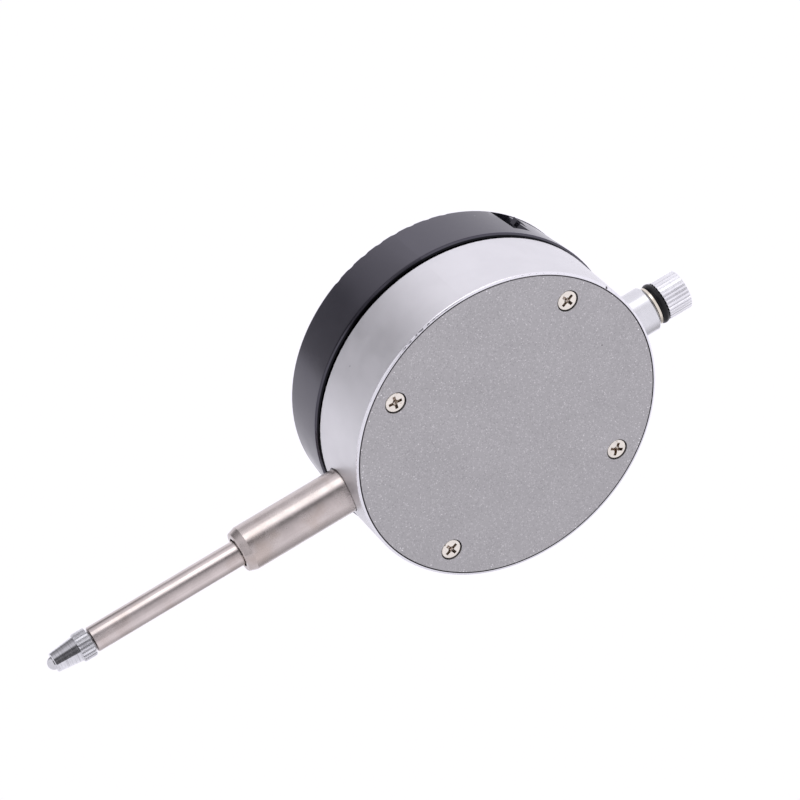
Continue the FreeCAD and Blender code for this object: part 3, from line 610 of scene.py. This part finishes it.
def add_floor():
    """Pale matt floor well below the contact ball."""
    half, height = 3.0, -0.14
    mesh = bpy.data.meshes.new("floor")
    corners = [(-half, -half, height), (half, -half, height), (half, half, height), (-half, half, height)]
    mesh.from_pydata(corners, [], [(0, 1, 2, 3)])
    floor = bpy.data.objects.new("floor", mesh)
    bpy.context.collection.objects.link(floor)
    look = Look("floor", 0.0)
    tone, gloss = base(look, (0.86, 0.86, 0.86), rough=0.7, spread=0.01, rough_spread=0.03, grain=2 * MM,
                       depth=1.0 * MICRON, patch=60 * MM)
    floor.data.materials.append(look.done(tone, gloss))


def add_softbox(name, azimuth, elevation, distance, width, height, radiance):
    """Rectangular light aimed at the stem; azimuth, in degrees, runs from +X towards +Y."""
    lamp = bpy.data.lights.new(name, "AREA")
    lamp.shape = "RECTANGLE"
    lamp.size = width
    lamp.size_y = height
    lamp.energy = radiance * math.pi * width * height
    light = bpy.data.objects.new(name, lamp)
    a, e = math.radians(azimuth), math.radians(elevation)
    outward = Vector((math.cos(a) * math.cos(e), math.sin(a) * math.cos(e), math.sin(e)))
    side = Vector((0, 0, 1)).cross(outward).normalized()
    rotation = Matrix((side, outward.cross(side), outward)).transposed().to_4x4()
    light.matrix_world = Matrix.Translation(outward * distance) @ rotation
    light.visible_camera = False
    bpy.context.collection.objects.link(light)


def card_look(name):
    """Glowing studio card: its own point values say how bright and how solid it is."""
    look = Look(name, 0.0, Emission_Color=(1.03, 1.0, 1.08, 1.0), Specular_IOR_Level=0.0)
    for attribute, socket in (("glow", "Emission Strength"), ("fade", "Alpha")):
        value = look.add("ShaderNodeAttribute", attribute_name=attribute).outputs["Fac"]
        look.feed(look.shader.inputs[socket], value)
    return look.done((0.0, 0.0, 0.0), 1.0)


def between(place, pairs):
    """Value at a place, on straight lines between (place, value) pairs."""
    for (x0, y0), (x1, y1) in zip(pairs, pairs[1:]):
        if place <= x1:
            return y0 + (y1 - y0) * max(0.0, place - x0) / (x1 - x0)
    return pairs[-1][1]


def ease(share):
    """0 to 1 with a gentle start and end."""
    share = min(1.0, max(0.0, share))
    return share * share * (3 - 2 * share)


def add_card(name, centre, pole, tones, rises, soft, distance):
    """Curved studio card: a patch of a sphere round centre, seen only in reflections.

    pole is "z" or "-y". tones lists how bright the card is at angles round the pole, as (angle, glow);
    rises is its span of angle from the pole. soft gives the widths of its faded edges: at the first and
    last of tones, then at the first and last of rises. All angles are in degrees.
    """
    count = 48
    first, last = tones[0][0], tones[-1][0]
    near, far = rises
    work = bmesh.new()
    glow = work.verts.layers.float.new("glow")
    fade = work.verts.layers.float.new("fade")
    rows = []
    for i in range(count + 1):
        rise = near + (far - near) * (i / count)
        row = []
        for j in range(count + 1):
            turn = first + (last - first) * j / count
            up, round_pole = math.radians(rise), math.radians(turn)
            x, y, z = math.sin(up) * math.cos(round_pole), math.sin(up) * math.sin(round_pole), math.cos(up)
            spot = Vector((x, y, z)) if pole == "z" else Vector((x, -z, y))
            point = work.verts.new(centre + spot * distance)
            point[glow] = between(turn, tones)
            point[fade] = (ease((rise - near) / soft[2]) * ease((far - rise) / soft[3])
                           * ease((turn - first) / soft[0]) * ease((last - turn) / soft[1]))
            row.append(point)
        rows.append(row)
    for i in range(count):
        for j in range(count):
            work.faces.new((rows[i][j], rows[i][j + 1], rows[i + 1][j + 1], rows[i + 1][j]))
    card = make_object(name, work, card_look(name))
    card.visible_camera = False
    card.visible_shadow = False
    card.visible_diffuse = False


def add_cards():
    """The cards that draw the light and dark bands on the bars, the case's side and the contact."""
    origin = Vector((0, 0, 0))
    bar_tones = [(22, 0.45), (31, 0.22), (38, 0.20), (47, 0.40), (60, 0.64), (80, 0.82), (100, 0.92),
                 (120, 0.96)]
    side_tones = [(130, 0.90), (150, 0.72), (172, 0.52), (200, 0.50)]
    tip_tones = [(-56, 0.34), (-32, 0.36), (-20, 0.58), (0, 0.68), (12, 0.55), (19, 0.16), (32, 0.08),
                 (48, 0.17), (62, 0.09), (90, 0.15)]
    low_tones = [(-92, 0.45), (-70, 0.34), (-50, 0.24), (-34, 0.25), (-18, 0.50), (0, 0.72), (20, 0.95)]
    add_card("bar_card", origin, "z", bar_tones, (66.0, 91.0), (7.0, 20.0, 7.0, 3.0), 0.30)
    add_card("side_card", origin, "z", side_tones, (50.0, 95.0), (12.0, 8.0, 8.0, 5.0), 0.31)
    add_card("tip_card", origin, "z", tip_tones, (92.0, 117.0), (6.0, 2.0, 2.0, 2.0), 0.29)
    add_card("low_card", CASE_CENTRE, "-y", low_tones, (22.0, 60.0), (14.0, 12.0, 12.0, 10.0), 0.17)


dress_nodes()
add_display_markings()
add_key_markings()
add_spring()
add_camera()
add_world()
add_floor()
add_softbox("key", azimuth=1.0, elevation=12.0, distance=0.6, width=0.31, height=0.36, radiance=1.0)
add_cards()
bpy.context.scene.view_settings.view_transform = "Standard"
